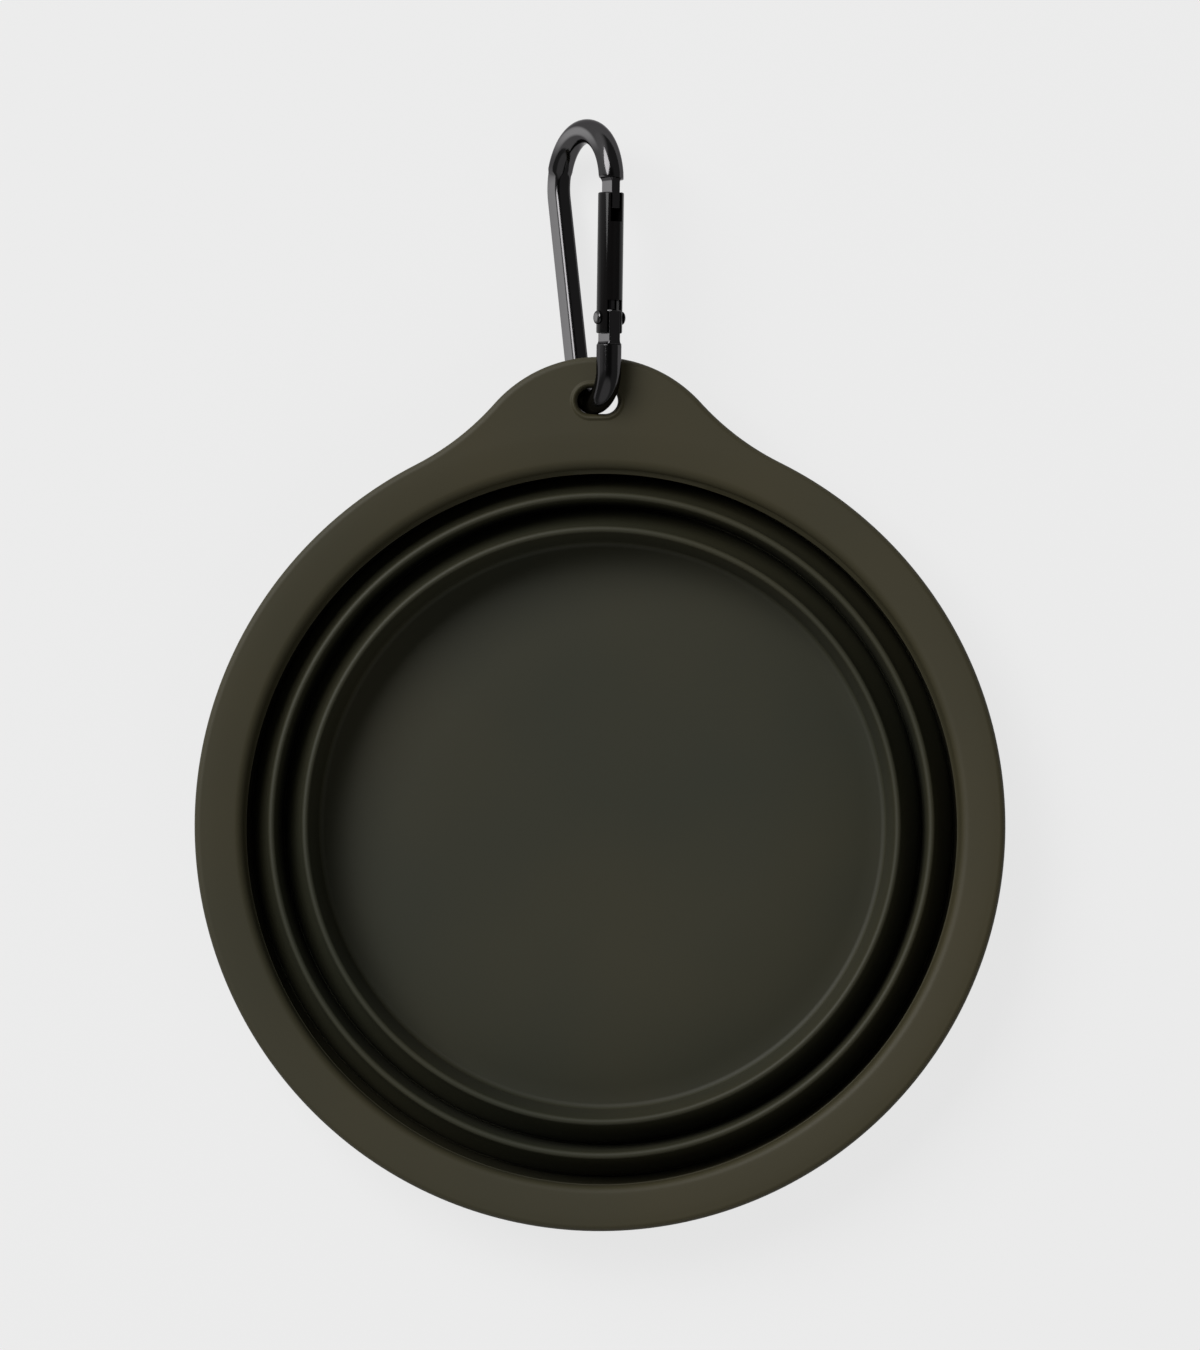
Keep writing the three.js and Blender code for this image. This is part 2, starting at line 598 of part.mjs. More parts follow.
function carabiner() {
  const group = new THREE.Group();
  group.position.copy(CARABINER_PLACE);
  group.rotation.set(CARABINER_LIFT, CARABINER_SLANT, CARABINER_TURN, 'ZYX');
  group.add(mesh('carabiner_frame', carabinerFrame(), BLACK_COATING));
  const hinge = new THREE.Group();
  hinge.position.set(0, RIVET_PLACE, NARROW_BEND_RADIUS);
  hinge.add(mesh('carabiner_gate', carabinerGate(), BLACK_COATING));
  hinge.add(mesh('gate_rivet', gateRivet(), DARK_STEEL));
  hinge.add(mesh('gate_plunger', gatePlunger(), DARK_STEEL));
  hinge.add(mesh('gate_spring', gateSpring(), SPRING_STEEL));
  group.add(hinge);
  return group;
}

const bowl = new THREE.Group();
bowl.add(mesh('base', base(), SILICONE));
bowl.add(mesh('lower_fold', fold(BASE_TIER, MIDDLE_TIER), SILICONE));
bowl.add(mesh('middle_wall', middleWall(), SILICONE));
bowl.add(mesh('upper_fold', fold(MIDDLE_TIER, RIM_TIER), SILICONE));
bowl.add(mesh('rim', rim(), SILICONE));
bowl.add(carabiner());

export default bowl;
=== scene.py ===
"""Collapsible silicone bowl, folded flat, with a small carabiner through its hanging tab."""
import json
import math

import bmesh
import bpy
from bpy.props import FloatProperty, FloatVectorProperty, IntProperty, PointerProperty
from mathutils import Matrix, Vector
from mathutils.geometry import tessellate_polygon


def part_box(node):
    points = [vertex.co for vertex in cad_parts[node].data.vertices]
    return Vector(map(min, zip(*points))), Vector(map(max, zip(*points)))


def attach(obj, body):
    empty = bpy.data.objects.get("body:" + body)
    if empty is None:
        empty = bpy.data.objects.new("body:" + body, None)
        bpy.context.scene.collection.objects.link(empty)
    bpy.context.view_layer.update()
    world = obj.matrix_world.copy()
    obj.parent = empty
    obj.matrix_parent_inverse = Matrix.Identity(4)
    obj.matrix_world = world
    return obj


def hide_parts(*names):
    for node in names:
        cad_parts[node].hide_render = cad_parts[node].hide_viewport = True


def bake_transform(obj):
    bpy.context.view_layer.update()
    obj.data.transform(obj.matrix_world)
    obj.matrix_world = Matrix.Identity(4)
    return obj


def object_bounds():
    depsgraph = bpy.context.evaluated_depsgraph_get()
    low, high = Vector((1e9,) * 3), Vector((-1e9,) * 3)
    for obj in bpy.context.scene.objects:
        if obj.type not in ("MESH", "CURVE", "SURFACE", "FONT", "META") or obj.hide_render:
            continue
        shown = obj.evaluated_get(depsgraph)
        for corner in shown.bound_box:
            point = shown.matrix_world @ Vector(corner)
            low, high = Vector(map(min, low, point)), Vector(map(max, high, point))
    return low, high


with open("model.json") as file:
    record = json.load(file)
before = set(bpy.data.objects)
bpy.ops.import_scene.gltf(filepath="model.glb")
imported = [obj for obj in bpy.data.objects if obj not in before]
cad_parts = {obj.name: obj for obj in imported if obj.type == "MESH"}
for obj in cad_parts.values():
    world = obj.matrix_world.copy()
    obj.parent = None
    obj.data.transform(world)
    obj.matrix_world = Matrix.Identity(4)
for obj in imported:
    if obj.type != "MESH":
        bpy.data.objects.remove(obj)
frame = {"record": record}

bl_info = {
    "name": "Collapsible Bowl",
    "version": (1, 0, 0),
    "blender": (4, 5, 0),
    "location": "View3D > Sidebar > Bowl",
    "description": "Builds a folded silicone travel bowl and its carabiner on the packed frame",
    "category": "Add Mesh",
}

MM = 0.001
CAD_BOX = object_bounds()
RIM_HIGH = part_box("rim")[1]
MIDDLE_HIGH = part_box("middle_wall")[1]
BASE_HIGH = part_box("base")[1]
UPPER_FOLD_LOW, UPPER_FOLD_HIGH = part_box("upper_fold")
JOINTS = {joint["name"]: joint for joint in frame["record"]["behaviour"]["joints"]}


def linear(code):
    """An sRGB hex colour as linear RGBA."""
    channels = [int(code[i:i + 2], 16) / 255 for i in (1, 3, 5)]
    return [c / 12.92 if c <= 0.04045 else ((c + 0.055) / 1.055) ** 2.4 for c in channels] + [1.0]


def length(name, description, millimetres):
    """A length property, kept in metres."""
    return FloatProperty(
        name=name, description=description, default=millimetres * MM, unit="LENGTH", precision=5)


def colour(name, description, code):
    """A colour property from an sRGB hex value."""
    return FloatVectorProperty(
        name=name, description=description, default=linear(code), size=4, subtype="COLOR", min=0, max=1)


class BowlSizes(bpy.types.PropertyGroup):
    """Sizes of the folded silicone bowl."""
    rim_radius: length("Rim radius", "Outer radius of the round rim", RIM_HIGH.x / MM)
    tab_reach: length("Tab reach", "From the bowl's middle to the end of the tab", RIM_HIGH.y / MM)
    bead_height: length("Bead height", "How far the lip round the slot stands up", 0.3)
    rim_top: length("Rim top", "Height of the rim's flat", RIM_HIGH.z / MM - 0.3)
    flange_width: length("Flange width", "Width of the rim's flat and its outer edge", 6.1)
    flange_thickness: length("Flange thickness", "Thickness of the rim and tab", 2.8)
    edge_round: length("Edge round", "Radius along the outer edge of rim and tab", 1.0)
    dish: length("Dish", "How much lower the rim's flat lies at its inner edge", 0.25)
    dish_radius: length("Dish radius", "Radius at which the rim's flat starts to dip", 63.2)
    lip_round: length("Lip round", "Radius where the rim turns down into the bowl", 1.57)
    ledge_radius: length("Ledge radius", "Inner radius of the parting step below the lip", 57.05)
    ledge_drop: length("Ledge drop", "From the middle of the lip's round down to the step", 0.65)
    rim_undercut: length("Rim undercut", "Radius of the hollow below the step", 57.9)
    rim_foot: length("Rim foot", "Radius of the valley's outer side below the rim", 57.0)
    ledge_shift: length("Ledge shift", "How far the step below the lip sits off centre", 0.65)
    flat_shift: length("Flat shift", "How far the rim's flat starts off centre", 0.3)
    lip_shift: length("Lip shift", "How far the lip's lower edge sits off centre", 0.45)
    tier_shift: length("Tier shift", "How far the folded tiers sit to the right", 0.23)
    tier_slant: length("Tier slant", "How far the folded tiers slant over their height", 0.28)
    tab_end_radius: length("Tab end radius", "Radius of the tab's free end", 22.2)
    tab_flow_radius: length("Tab flow radius", "Hollow radius where rim and tab join", 43)
    slot_length: length("Slot length", "Length of the slot in the tab", 6.5)
    slot_width: length("Slot width", "Width of the slot in the tab", 4.15)
    slot_distance: length("Slot distance", "From the bowl's middle to the slot's middle", 68.11)
    bead_width: length("Bead width", "From the slot's wall to the foot of its lip", 1.2)
    bead_crest: length("Bead crest", "From the slot's wall to the top of its lip", 0.7)
    slot_mouth: length("Slot mouth", "Depth of the slot's flared mouth", 1.5)
    slot_lower_round: length("Slot lower round", "Radius at the slot's lower edge", 1.2)
    base_crest: length("Base crest", "Radius of the inner tier's crest", BASE_HIGH.x / MM - 0.4)
    middle_crest: length("Middle crest", "Radius of the middle tier's crest", MIDDLE_HIGH.x / MM - 0.4)
    crest_round: length("Crest round", "Radius at the top of each folded tier", 0.55)
    wall_lean: length("Wall lean", "How far the middle tier's inner face leans", 0.6)
    base_lean: length("Base lean", "How far the inner face round the floor leans", 0.95)
    foot_inset: length("Foot inset", "From a crest's inner edge to its wall's outer foot", 0.2)
    valley_floor: length("Valley floor", "Height of a valley's narrow floor when folded", 1.5)
    valley_width: length("Valley width", "Width of the valley between a fold and the next wall", 0.35)
    wall_neck: length("Wall neck", "Thickness of a tier's wall below its crest", 0.4)
    fold_gap: length("Fold gap", "Between a tier's wall and the top of its fold", 0.3)
    fold_foot: length("Fold foot", "Thickness of a fold at its foot", 0.85)
    valley_underside: length("Valley underside", "Height of a valley's underside when folded", 1.0)
    valley_round: length("Valley round", "Radius along the underside of a valley", 0.4)
    floor_thickness: length("Floor thickness", "Thickness of the bowl's floor", 2.0)
    floor_crown: length("Floor crown", "How far the middle of the floor bulges up", 1.0)
    floor_level: length("Floor level", "Radius of the level middle of the floor", 24)
    floor_fillet: length("Floor fillet", "Radius between floor and inner wall", 1.0)
    base_corner: length("Base corner", "Radius round the foot of the bowl", 1.8)
    segments: IntProperty(name="Segments", description="Facets in one turn", default=288, min=48)


class CarabinerSizes(bpy.types.PropertyGroup):
    """Sizes of the carabiner."""
    bar_radius: length("Bar radius", "Radius of the round bar", 2.0)
    narrow_bend: length("Narrow bend", "Radius of the bar's middle line at the hook", 4.95)
    wide_bend: length("Wide bend", "Radius of the bar's middle line at the crown", 8.55)
    bend_spacing: length("Bend spacing", "Between the middles of the two bends", 30.1)
    spine_width: length("Spine width", "Width of the pressed spine across the loop", 2.9)
    spine_depth: length("Spine depth", "Depth of the pressed spine in the loop's plane", 3.5)
    spine_corner: length("Spine corner", "Corner radius of the pressed spine", 0.75)
    press_run_out: length("Press run-out", "Length over which the pressed flat starts", 0.8)
    press_reach: length("Press reach", "How far the pressed flat runs up into the crown", 4.0)
    hook_shoulder: length("Hook shoulder", "Where the hook's bar ends at its tongue", 4.15)
    nose_end: length("Nose end", "Where the nose's bar ends at its tongue", 30.7)
    tongue_fillet: length("Tongue fillet", "Radius left by the cutter at a tongue's root", 0.7)
    tongue_corner: length("Tongue corner", "Corner radius of the tongues", 0.15)
    hinge_tongue_thickness: length("Hinge tongue thickness", "Thickness of the rivet's tongue", 2.0)
    hinge_tongue_depth: length("Hinge tongue depth", "Depth of the tongue at the rivet", 3.7)
    hinge_tongue_end: length("Hinge tongue end", "Where the tongue at the rivet ends", 9.5)
    nose_tongue_thickness: length("Nose tongue thickness", "Thickness of the nose's tongue", 1.5)
    nose_tongue_depth: length("Nose tongue depth", "Depth of the tongue at the nose", 3.0)
    nose_tongue_end: length("Nose tongue end", "Where the tongue at the nose ends", 25.8)
    nose_tongue_offset: length("Nose tongue offset", "Tongue's offset from the gate line", 0.1)
    nose_neck_depth: length("Nose neck depth", "Depth of the nose's tongue between bar and gate", 3.35)
    nose_skew: FloatProperty(
        name="Nose skew", description="Slope of the nose's end across the bar", default=0.16)
    gate_radius: length("Gate radius", "Outer radius of the gate", 2.075)
    hinge_place: length("Hinge place", "Where the gate's rivet sits along the gate line", 8.4)
    gate_tail: length("Gate tail", "From the rivet to the gate's lower end", 2.5)
    gate_reach: length("Gate reach", "From the rivet to the gate's upper end", 20.0)
    gate_chamfer: length("Gate chamfer", "Chamfer at the gate's ends", 0.25)
    gate_bore: length("Gate bore", "Radius of the bore for the spring", 1.395)
    bore_end: length("Bore end", "From the rivet to the end of the bore", 13.7)
    hinge_slot_reach: length("Hinge slot reach", "From the rivet to the end of the lower slot", 2.8)
    nose_slot_length: length("Nose slot length", "Length of the slot at the gate's upper end", 4.7)
    side_clearance: length("Side clearance", "Play between a slot and its tongue", 0.3)
    rivet_radius: length("Rivet radius", "Radius of the rivet's shank", 0.7)
    rivet_head_radius: length("Rivet head radius", "Radius of the rivet's domed heads", 1.1)
    rivet_head_height: length("Rivet head height", "Height of the rivet's domed heads", 0.45)
    rivet_seat: length("Rivet seat", "From the gate's middle to the rivet's heads", 2.2)
    spring_wire: length("Spring wire", "Diameter of the spring's wire", 0.44)
    spring_radius: length("Spring radius", "Radius of the spring's middle line", 0.875)
    plunger_foot: length("Plunger foot", "From the rivet to the plunger's foot", 1.25)
    plunger_head: length("Plunger head", "Length of the plunger's head", 2.6)
    plunger_stem: length("Plunger stem", "Length of the plunger's stem", 2.4)
    spring_turns: FloatProperty(
        name="Spring turns", description="Turns of the coil spring", default=7.5, min=1)


class Finishes(bpy.types.PropertyGroup):
    """Colours of the materials and the stage."""
    # The olive tone is the silicone's own drift and also painted shade inside the folds; the brown tone is
    # its own drift and also painted light on the rim.
    silicone_olive_and_shade: colour("Silicone olive", "Greener tone of the silicone inside the bowl", "#24261A")
    silicone_brown_and_light: colour("Silicone brown", "Browner tone of the silicone on the rim", "#36311D")
    black_nickel: colour("Black nickel", "Reflection of the plated round bar", "#464546")
    pressed_nickel: colour("Pressed nickel", "Reflection of the bar's pressed and milled flats", "#888788")
    nickel_edge: colour("Nickel edge", "Reflection of the plated bar at a glancing angle", "#C4C3C4")
    gate_black: colour("Gate black", "Stoved black on the gate", "#0E0D0D")
    spring_wire: colour("Spring wire", "Bright drawn wire", "#A8A8A2")
    floor: colour("Floor", "Pale floor and backdrop", "#ECECEC")


def rounded(t):
    """Smooth step from 0 to 1 with level ends."""
    return t * t * (3 - 2 * t)


def lerp(a, b, t):
    """Value at a share of the way from one to another."""
    return a + (b - a) * t


def shares(steps):
    """Even shares from 0 to 1, both included."""
    return [i / steps for i in range(steps + 1)]


def arc(centre, radius, start, stop, steps=8):
    """Points of a section on an arc from one angle to another in degrees, both ends included."""
    points = []
    for share in shares(steps):
        angle = math.radians(lerp(start, stop, share))
        points.append((centre[0] + radius * math.cos(angle), centre[1] + radius * math.sin(angle)))
    return points


def circle(radius, height, segments, shift=(0, 0)):
    """Level ring of points about the z axis, or the one point on the axis."""
    if radius == 0:
        return [Vector((0, 0, height))]
    turn = 2 * math.pi / segments
    return [Vector((radius * math.cos(turn * i) + shift[0], radius * math.sin(turn * i) + shift[1], height))
            for i in range(segments)]


def add_strip(bm, rows):
    """Closed bands of faces between rows of points; a row of one point makes a fan."""
    verts = [[bm.verts.new(point) for point in row] for row in rows]
    for lower, upper in zip(verts, verts[1:]):
        count = max(len(lower), len(upper))
        for i in range(count):
            j = (i + 1) % count
            corners = (lower[i % len(lower)], lower[j % len(lower)],
                       upper[j % len(upper)], upper[i % len(upper)])
            bm.faces.new(dict.fromkeys(corners))


def capped(rings):
    """The rings with a point in the middle of the first and one in the middle of the last."""
    first, last = [[sum(ring, Vector()) / len(ring)] for ring in (rings[0], rings[-1])]
    return [first] + rings + [last]


def add_flat(bm, loops):
    """Level face inside the first loop of points, with the other loops as holes."""
    verts = [bm.verts.new(point) for loop in loops for point in loop]
    for triangle in tessellate_polygon(loops):
        bm.faces.new([verts[i] for i in triangle])


def add_object(bm, name):
    """New object in the scene from a bmesh, which is used up."""
    mesh = bpy.data.meshes.new(name)
    bm.to_mesh(mesh)
    bm.free()
    piece = bpy.data.objects.new(name, mesh)
    bpy.context.scene.collection.objects.link(piece)
    return piece


def piece_from(bm, name, surface, crease=35, matrix=None):
    """New piece of one material: welded, faces pointing out, smooth up to the crease angle."""
    weld = 1e-4 * MM
    bmesh.ops.remove_doubles(bm, verts=bm.verts, dist=weld)
    bmesh.ops.recalc_face_normals(bm, faces=bm.faces)
    if matrix:
        bm.transform(matrix)
    piece = add_object(bm, name)
    piece.data.shade_smooth()
    piece.data.set_sharp_from_angle(angle=math.radians(crease))
    piece.data.materials.append(material_of(surface))
    return piece


def tier_aside(sizes, height):
    """How far a folded tier sits off centre at one height: folded by hand, it leans a little."""
    risen = min(max((height - SEAM_FOOT) / (SEAM_TOP - SEAM_FOOT), 0), 1)
    return Vector((sizes.tier_shift, 0)) + Vector((1, -1)).normalized() * sizes.tier_slant * (1 - risen)


def turned(name, section, sizes):
    """Turned tier. The section starts and ends on the axis, or else it closes on itself."""
    rows = [circle(radius, height, sizes.segments, tier_aside(sizes, height)) for radius, height in section]
    if section[0][0] > 0:
        rows.append(rows[0])
    bm = bmesh.new()
    add_strip(bm, rows)
    return piece_from(bm, name, silicone_blasted_mould)


def fit(piece, body, node):
    """Lets a piece ride on a body in place of a CAD node, which is hidden."""
    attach(piece, body)
    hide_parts(node)


# The setting that says what a node of each kind does.
MODES = {"Math": "operation", "VectorMath": "operation",
         "MapRange": "interpolation_type", "Mix": "data_type"}


def add_node(tree, kind, mode=None, **inputs):
    """One shader node. An input is a value, a socket, or a node that stands for its first output in use."""
    node = tree.nodes.new("ShaderNode" + kind)
    if mode:
        setattr(node, MODES[kind], mode)
    for name, value in inputs.items():
        key = int(name[1:]) if name[0] == "_" else name.replace("_", " ")
        if isinstance(value, bpy.types.Node):
            value = next(socket for socket in value.outputs if socket.enabled)
        if isinstance(value, bpy.types.NodeSocket):
            tree.links.new(value, node.inputs[key])
        else:
            node.inputs[key].default_value = value
    return node


def material_of(build):
    """The material named like the function that builds its shader, made on first use."""
    material = bpy.data.materials.get(build.__name__)
    if not material:
        material = bpy.data.materials.new(build.__name__)
        material.use_nodes = True
        tree = material.node_tree
        tree.nodes.clear()
        add_node(tree, "OutputMaterial", Surface=build(tree))
    return material


def silicone_blasted_mould(tree):
    """Silicone rubber from a blasted mould: matte, dark olive, with slow drifts of brown and green, and
    painted shade that darkens the inside of the folds.
    """
    colours = bpy.context.scene.bowl_finishes
    place = add_node(tree, "TexCoord").outputs["Object"]
    # The pigment drifts over about a third of the bowl.
    drift_size = 45 * MM
    drift = add_node(tree, "TexNoise", Vector=place, Scale=1 / drift_size, Detail=2.0)
    # Painted shade and light: the rim, outside the folds, is drawn a little browner and lighter than the
    # inside, which is drawn greener and darker for the shade inside the bowl.
    folds_end = 54 * MM
    rim_start = 60 * MM
    radius = add_node(tree, "VectorMath", "LENGTH", _0=place)
    painted_shade_and_light = add_node(tree, "MapRange", Value=radius,
                       From_Min=folds_end, From_Max=rim_start, To_Min=-0.25, To_Max=0.25)
    share = add_node(tree, "Math", "ADD", _0=drift, _1=painted_shade_and_light)
    tone = add_node(tree, "Mix", "RGBA", Factor=share, _6=colours.silicone_olive_and_shade, _7=colours.silicone_brown_and_light)
    # The blasted mould leaves a grain of about 0.1 mm, drawn three times coarser so that it shows.
    grain_size = 0.3 * MM
    grain = add_node(tree, "TexNoise", Vector=place, Scale=1 / grain_size, Detail=3.0)
    bump = add_node(tree, "Bump", Strength=0.06, Distance=0.05 * MM, Height=grain)
    rough = add_node(tree, "MapRange", Value=grain, To_Min=0.58, To_Max=0.7)
    return add_node(tree, "BsdfPrincipled", Base_Color=tone, IOR=1.41, Roughness=rough, Normal=bump)


def black_nickel_plated_bar(tree):
    """Black nickel plate on a drawn and pressed steel bar: a dark mirror that waves a little."""
    colours = bpy.context.scene.bowl_finishes
    sizes = bpy.context.scene.bowl_carabiner
    coordinates = add_node(tree, "TexCoord").outputs
    # Plating over drawn steel waves gently over a millimetre or two.
    wave_size = 1.6 * MM
    wave = add_node(tree, "TexNoise", Vector=coordinates["Object"], Scale=1 / wave_size, Detail=2.0)
    bump = add_node(tree, "Bump", Strength=1.0, Distance=0.003 * MM, Height=wave)
    rough = add_node(tree, "MapRange", Value=wave, To_Min=0.1, To_Max=0.16)
    # The flats that were pressed or milled square to the loop are paler than the drawn round.
    bar_place = carabiner_matrix()
    across, forward, upward = [tuple(axis) for axis in bar_place.to_3x3().col]
    facing = add_node(tree, "VectorMath", "DOT_PRODUCT", _0=coordinates["Normal"], _1=across)
    square = add_node(tree, "Math", "ABSOLUTE", _0=facing)
    flat = add_node(tree, "MapRange", "SMOOTHSTEP", Value=square, From_Min=0.9, From_Max=0.99)
    # Only the spine, the tongues and the worn top of the crown show that; hook and shoulders stay drawn.
    press_turn = sizes.press_reach / sizes.wide_bend - spine_lean(sizes)
    press_end = sizes.bend_spacing + sizes.wide_bend * math.sin(press_turn)
    fade = 1.6 * MM
    worn_from = sizes.bend_spacing + 4.4 * MM
    worn_to = sizes.bend_spacing + 8.4 * MM
    slot = tuple(bar_place.translation)
    from_slot = add_node(tree, "VectorMath", "SUBTRACT", _0=coordinates["Object"], _1=slot)
    along = add_node(tree, "VectorMath", "DOT_PRODUCT", _0=from_slot, _1=forward)
    above = add_node(tree, "VectorMath", "DOT_PRODUCT", _0=from_slot, _1=upward)
    on_spine = add_node(tree, "MapRange", "SMOOTHSTEP", Value=along,
                        From_Min=press_end - fade, From_Max=press_end + fade, To_Min=1, To_Max=0)
    tongues = (sizes.hook_shoulder + sizes.nose_end) / 2
    on_tongue = add_node(tree, "Math", "COMPARE", _0=along, _1=tongues, _2=sizes.nose_end - tongues)
    gate_side = add_node(tree, "Math", "GREATER_THAN", _0=above, _1=0.0)
    straight = add_node(tree, "Mix", "FLOAT", Factor=gate_side, _2=on_spine, _3=on_tongue)
    worn = add_node(tree, "MapRange", "SMOOTHSTEP", Value=along, From_Min=worn_from, From_Max=worn_to)
    zone = add_node(tree, "Math", "MAXIMUM", _0=straight, _1=worn)
    pressed = add_node(tree, "Math", "MULTIPLY", _0=flat, _1=zone)
    tone = add_node(tree, "Mix", "RGBA", Factor=pressed, _6=colours.black_nickel, _7=colours.pressed_nickel)
    return add_node(tree, "BsdfPrincipled", Base_Color=tone, Metallic=1.0, Roughness=rough, Normal=bump,
                    Specular_Tint=colours.nickel_edge)


def black_stoved_enamel_gate(tree):
    """Stoved black enamel on the turned gate: deeper and less mirror-like than the plated bar."""
    colours = bpy.context.scene.bowl_finishes
    place = add_node(tree, "TexCoord").outputs["Object"]
    # The enamel's orange peel is about half a millimetre across.
    peel_size = 0.5 * MM
    peel = add_node(tree, "TexNoise", Vector=place, Scale=1 / peel_size, Detail=2.0)
    rough = add_node(tree, "MapRange", Value=peel, To_Min=0.09, To_Max=0.13)
    return add_node(tree, "BsdfPrincipled", Base_Color=colours.gate_black, IOR=1.25, Roughness=rough)


def spring_steel_drawn_wire(tree):
    """Bright drawn spring wire: grey metal, finely roughened by the die."""
    colours = bpy.context.scene.bowl_finishes
    place = add_node(tree, "TexCoord").outputs["Object"]
    # The die's marks are a few hundredths of a millimetre across, drawn at a tenth to show.
    mark_size = 0.1 * MM
    marks = add_node(tree, "TexNoise", Vector=place, Scale=1 / mark_size, Detail=1.0)
    rough = add_node(tree, "MapRange", Value=marks, To_Min=0.22, To_Max=0.4)
    return add_node(tree, "BsdfPrincipled", Base_Color=colours.spring_wire, Metallic=1.0, Roughness=rough)


def pale_studio_floor(tree):
    """Plain pale studio floor, seen evenly lit, which still takes the object's shadow."""
    tone = bpy.context.scene.bowl_finishes.floor
    even_share = 0.9
    path = add_node(tree, "LightPath").outputs
    seen = add_node(tree, "Math", "MAXIMUM", _0=path["Is Camera Ray"], _1=path["Is Glossy Ray"])
    seen = add_node(tree, "Math", "MAXIMUM", _0=seen, _1=path["Is Transmission Ray"])
    share = add_node(tree, "Math", "MULTIPLY", _0=seen, _1=even_share)
    shaded = add_node(tree, "BsdfDiffuse", Color=tone)
    even = add_node(tree, "Emission", Color=tone, Strength=1.0)
    return add_node(tree, "MixShader", _0=share, _1=shaded, _2=even)


def tier_radii(sizes, crest, lean):
    """Radii of the folded tier whose crest stands at this radius."""
    neck = crest - sizes.crest_round
    return {
        "crest": crest,
        "inner_foot": neck - lean,
        "outer_foot": neck + sizes.foot_inset,
        "outer_top": neck + sizes.wall_neck,
        "cap_edge": crest + sizes.crest_round,
        "fold_inner": neck + sizes.wall_neck + sizes.fold_gap,
    }


# The folds are seamed to their tiers at these heights, on stretches that stand upright.
SEAM_RISE = 0.05 * MM
SEAM_TOP = UPPER_FOLD_HIGH.z + SEAM_RISE
SEAM_FOOT = UPPER_FOLD_LOW.z + SEAM_RISE
# Degrees by which an inner face leans where it leaves a round.
FACE_LEAN = 6


def crest_section(sizes, tier, top):
    """From a wall's outer face under its crest to the fold's seam, and over the crest to the inner face."""
    under = (tier["outer_top"] + tier["fold_inner"]) / 2
    over = (tier["crest"], top - sizes.crest_round)
    return (arc((under, SEAM_TOP), tier["fold_inner"] - under, 180, 0, 6)
            + [(tier["cap_edge"], SEAM_TOP)]
            + arc(over, sizes.crest_round, 0, 180 - FACE_LEAN, 14))


def hook_section(sizes, fold_radius, outer_foot):
    """From the fold's seam round the underside of a valley to the foot of the outer face."""
    tip = fold_radius - sizes.fold_foot
    low = sizes.valley_underside + sizes.valley_round
    return ([(fold_radius, SEAM_FOOT), (tip, SEAM_FOOT)]
            + arc((tip + sizes.valley_round, low), sizes.valley_round, 180, 270, 5)
            + arc((outer_foot - sizes.valley_round, low), sizes.valley_round, 270, 360, 5))


def valley_section(sizes, fold_radius, wall_radius):
    """Narrow round-floored valley, from the wall's inner face back towards the fold's seam."""
    half = (wall_radius - fold_radius) / 2
    return ([(wall_radius, SEAM_FOOT + SEAM_RISE)]
            + arc((fold_radius + half, sizes.valley_floor + half), half, 0, -180, 10))


class BOWL_OT_base(bpy.types.Operator):
    """Add the floor and inner tier of the bowl"""
    bl_idname = "bowl.base"
    bl_label = "Base"

    def execute(self, context):
        sizes = context.scene.bowl_sizes
        tier = tier_radii(sizes, sizes.base_crest, sizes.base_lean)
        fillet = sizes.floor_fillet
        corner = sizes.base_corner
        floor = sizes.floor_thickness
        foot = (tier["outer_foot"] - corner, corner)
        inside = (tier["inner_foot"] - fillet, floor + fillet)
        level = sizes.floor_level
        crown = floor + sizes.floor_crown
        slope = [(lerp(inside[0], level, share), lerp(crown, floor, (1 - share) ** 2))
                 for share in shares(8)[1:]]
        section = ([(0, 0), (level, 0)]
                   + arc(foot, corner, -90, 0)
                   + crest_section(sizes, tier, BASE_HIGH.z)
                   + arc(inside, fillet, FACE_LEAN, -90, 12)
                   + slope + [(level / 2, crown), (0, crown)])
        piece = turned("bowl_base", section, sizes)
        fit(piece, "base", "base")
        return {"FINISHED"}


class BOWL_OT_middle_wall(bpy.types.Operator):
    """Add the middle tier of the bowl"""
    bl_idname = "bowl.middle_wall"
    bl_label = "Middle wall"

    def execute(self, context):
        sizes = context.scene.bowl_sizes
        tier = tier_radii(sizes, sizes.middle_crest, sizes.wall_lean)
        fold = tier["inner_foot"] - sizes.valley_width
        section = (hook_section(sizes, fold, tier["outer_foot"])
                   + crest_section(sizes, tier, MIDDLE_HIGH.z)
                   + valley_section(sizes, fold, tier["inner_foot"]))
        piece = turned("bowl_middle_wall", section, sizes)
        fit(piece, "middle", "middle_wall")
        return {"FINISHED"}


def tab_stations(sizes):
    """Points and outward normals round the outline of rim and tab, anticlockwise."""
    rim = sizes.rim_radius
    end = sizes.tab_end_radius
    flow = sizes.tab_flow_radius
    end_y = sizes.tab_reach - end
    flow_y = ((rim + flow) ** 2 - (end + flow) ** 2 + end_y ** 2) / (2 * end_y)
    flow_x = math.sqrt((rim + flow) ** 2 - flow_y ** 2)
    rim_angle = math.atan2(flow_y, flow_x)
    end_angle = math.atan2(flow_y - end_y, flow_x)
    # Middle, radius, first and last angle, which way is out, and steps of each arc.
    runs = (
        ((flow_x, flow_y), flow, rim_angle + math.pi, end_angle + math.pi, -1, 20),
        ((0, end_y), end, end_angle, math.pi - end_angle, 1, 40),
        ((-flow_x, flow_y), flow, -end_angle, -rim_angle, -1, 20),
        ((0, 0), rim, math.pi - rim_angle, 2 * math.pi + rim_angle, 1, sizes.segments * 4 // 5),
    )
    stations = []
    for centre, radius, start, stop, facing, steps in runs:
        for i in range(steps):
            angle = lerp(start, stop, i / steps)
            spoke = Vector((math.cos(angle), math.sin(angle), 0))
            stations.append((Vector((*centre, 0)) + radius * spoke, facing * spoke))
    return stations


